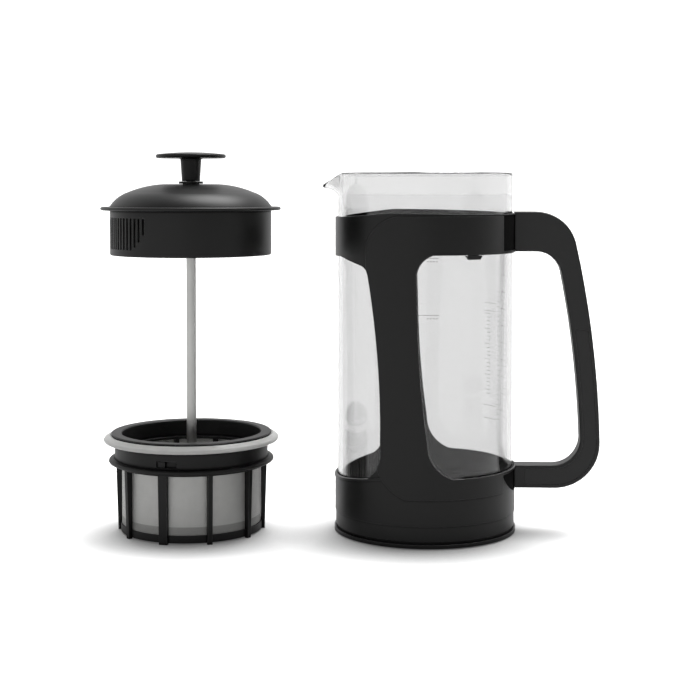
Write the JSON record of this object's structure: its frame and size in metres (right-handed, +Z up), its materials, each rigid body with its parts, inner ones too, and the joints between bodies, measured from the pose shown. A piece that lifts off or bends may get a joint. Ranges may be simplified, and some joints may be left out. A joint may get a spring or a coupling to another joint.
{
  "type": "french press",
  "caption": "French press coffee maker: glass beaker in a plastic frame with a loop handle, and its plunger with a domed lid and a two-part mesh filter standing beside it.",
  "frame": {"origin": "centre of the carafe underside, on the surface it stands on", "axes": "+Z up along the beaker axis, +X towards the handle, -X towards the spout, -Y is the front face with the lock tab"},
  "size_m": [0.2764, 0.1063, 0.2099],
  "materials": {
    "glass": "clear borosilicate",
    "frame_plastic": "satin moulded polypropylene",
    "foot_rubber": "matt",
    "pad_silicone": "matt silicone",
    "lock_plastic": "satin moulded",
    "rod_steel": "ground stainless",
    "knob_plastic": "satin moulded",
    "insert_brass": "turned",
    "filter_plastic": "satin moulded",
    "mesh_steel": "fine woven mesh",
    "seal_silicone": "translucent silicone",
    "lid_plastic": "satin moulded"
  },
  "bodies": {
    "carafe": {"carafe_frame": "frame_plastic", "base_cap": "frame_plastic", "foot_ring": "foot_rubber", "glass_pad": "pad_silicone", "handle": "frame_plastic", "handle_cover": "frame_plastic"},
    "beaker": {"glass_beaker": "glass"},
    "glass_lock": {"glass_lock_tab": "lock_plastic"},
    "plunger": {"plunger_rod": "rod_steel", "knob": "knob_plastic", "knob_insert": "insert_brass", "rod_nut": "rod_steel", "rod_washer": "rod_steel", "inner_filter_frame": "filter_plastic", "inner_filter_mesh": "mesh_steel", "inner_floor_mesh": "mesh_steel", "lip_seal": "seal_silicone"},
    "outer_filter": {"outer_filter_frame": "filter_plastic", "outer_filter_mesh": "mesh_steel", "outer_floor_mesh": "mesh_steel"},
    "lid_slider": {"lid_bushing": "lid_plastic", "bushing_clip": "rod_steel"},
    "lid": {"lid_dome": "lid_plastic", "lid_skirt": "lid_plastic"}
  },
  "joints": [
    {"name": "glass_lift", "type": "slide", "parent": "carafe", "child": "beaker", "axis": [0, 0, 1], "range_m": [0, 0.2]},
    {"name": "glass_lock_turn", "type": "hinge", "parent": "carafe", "child": "glass_lock", "pos_m": [0, 0, 0.153], "axis": [0, 0, 1], "range_deg": [0, 4]},
    {"name": "plunger_lift", "type": "slide", "parent": "carafe", "child": "plunger", "axis": [0, 0, 1], "range_m": [0, 0.25]},
    {"name": "filter_twist", "type": "hinge", "parent": "plunger", "child": "outer_filter", "pos_m": [-0.13, -0.006, 0.045], "axis": [0, 0, 1], "range_deg": [-8, 0]},
    {"name": "lid_slide", "type": "slide", "parent": "plunger", "child": "lid_slider", "axis": [0, 0, 1], "range_m": [-0.095, 0]},
    {"name": "lid_turn", "type": "hinge", "parent": "lid_slider", "child": "lid", "pos_m": [-0.13, -0.006, 0.192], "axis": [0, 0, 1], "continuous": true}
  ]
}
